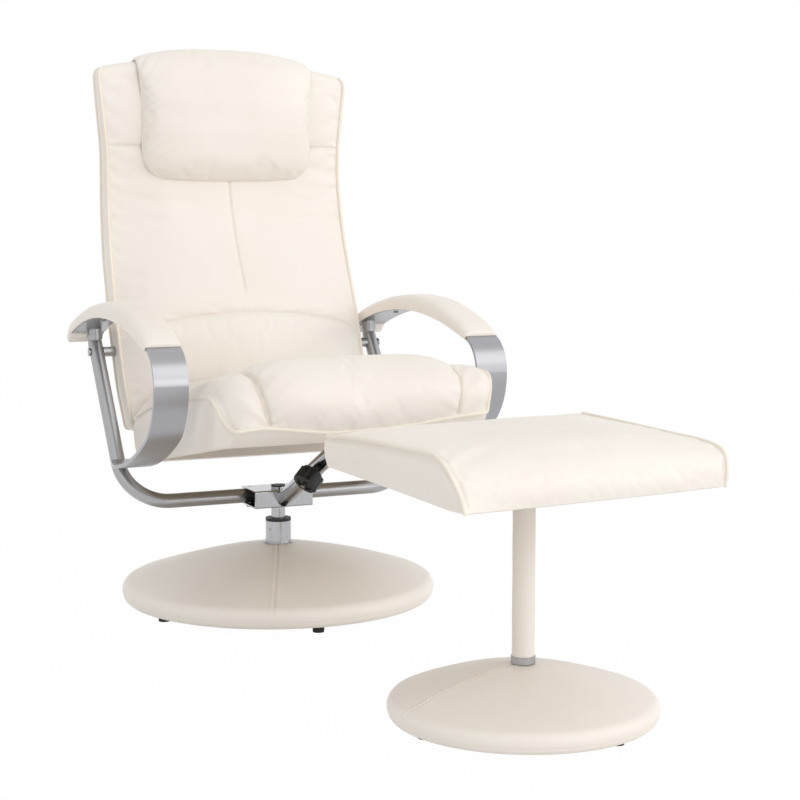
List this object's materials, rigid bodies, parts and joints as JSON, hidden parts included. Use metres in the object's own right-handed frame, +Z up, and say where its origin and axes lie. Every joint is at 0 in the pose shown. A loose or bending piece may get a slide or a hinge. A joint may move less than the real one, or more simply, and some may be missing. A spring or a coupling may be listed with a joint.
{
  "type": "recliner with footstool",
  "caption": "Padded recliner that swivels on a round covered base, with looped steel arms, a head pillow and a clamped reclining strut, and a matching footstool on its own covered base.",
  "frame": {"origin": "on the floor, under the middle of the whole set's box", "axes": "+Z up, the sitter faces -Y towards the footstool, +X is the sitter's left"},
  "size_m": [0.622, 1.3792, 0.9673],
  "materials": {
    "leatherette": "cream leatherette with a fine grain",
    "satin_steel": "satin grey steel",
    "chrome": "polished chrome plate",
    "black_plastic": "black moulded plastic",
    "black_rubber": "black rubber",
    "wood_board": "plain plywood",
    "zinc_steel": "zinc-plated steel",
    "dust_cloth": "thin beige cloth",
    "base_core": "pressed board",
    "bush_plastic": "natural bearing plastic"
  },
  "bodies": {
    "chair_base": {"base_cover": "leatherette", "base_core": "base_core", "base_feet": "black_rubber", "base_screws": "zinc_steel", "socket_flange": "zinc_steel", "socket_tube": "chrome", "socket_set_screw": "zinc_steel", "socket_trim": "chrome", "lower_bush": "bush_plastic", "upper_bush": "black_plastic"},
    "frame": {"swivel_post": "chrome", "post_cap": "black_plastic", "swivel_bracket": "chrome", "bracket_bolts": "zinc_steel", "frame_tube": "satin_steel", "strut_tube": "chrome", "strut_bush": "black_plastic", "arm_strap_left": "satin_steel", "arm_strap_right": "satin_steel", "arm_pad_left": "leatherette", "arm_pad_right": "leatherette", "arm_screws": "zinc_steel", "arm_risers": "satin_steel", "riser_rings": "satin_steel", "pivot_bolts": "satin_steel", "pivot_spacers": "satin_steel"},
    "backrest": {"back_board": "wood_board", "back_shell": "leatherette", "back_cushion": "leatherette", "back_side_plates": "zinc_steel", "back_pivot_bushes": "bush_plastic", "head_pillow": "leatherette", "pillow_flap": "leatherette", "back_hinge_lugs": "zinc_steel"},
    "seat": {"seat_cushion": "leatherette", "seat_board": "wood_board", "seat_dust_cover": "dust_cloth", "strut_clevis": "zinc_steel", "clevis_pin": "zinc_steel", "seat_hinge_lugs": "zinc_steel", "seat_hinge_pins": "zinc_steel"},
    "slider": {"strut_slider": "chrome", "slider_guide": "bush_plastic"},
    "knob": {"clamp_knob": "black_plastic", "knob_stud": "zinc_steel", "knob_washer": "zinc_steel"},
    "footstool": {"stool_base_cover": "leatherette", "stool_base_core": "base_core", "stool_feet": "black_rubber", "stool_base_screws": "zinc_steel", "stool_flange": "zinc_steel", "stool_column": "zinc_steel", "stool_collar": "satin_steel", "stool_column_sleeve": "leatherette", "stool_top_plate": "zinc_steel", "stool_plate_screws": "zinc_steel", "stool_board": "wood_board", "stool_cushion": "leatherette"}
  },
  "joints": [
    {"name": "swivel", "type": "hinge", "parent": "chair_base", "child": "frame", "pos_m": [0, 0.34648, 0.15], "axis": [0, 0, 1], "continuous": true},
    {"name": "back_recline", "type": "hinge", "parent": "frame", "child": "backrest", "pos_m": [0, 0.55493, 0.43937], "axis": [-1, 0, 0], "range_deg": [0, 22]},
    {"name": "seat_hinge", "type": "hinge", "parent": "backrest", "child": "seat", "pos_m": [0, 0.48648, 0.3], "axis": [-1, 0, 0], "range_deg": [-24, 0]},
    {"name": "strut_slide", "type": "slide", "parent": "frame", "child": "slider", "axis": [0, -0.9033, 0.4289], "range_m": [0, 0.055]},
    {"name": "knob_turn", "type": "hinge", "parent": "slider", "child": "knob", "pos_m": [0, 0.15243, 0.27007], "axis": [-0.7071, -0.3033, -0.6388], "range_deg": [0, 360]},
    {"name": "stool_slide", "type": "slide", "parent": "chair_base", "child": "footstool", "axis": [0, -1, 0], "range_m": [0, 0.3]}
  ],
  "couplings": [
    {"joint": "seat_hinge", "follows": "back_recline", "ratio": -1.0676},
    {"joint": "strut_slide", "follows": "back_recline", "m_per_rad": 0.14025}
  ]
}
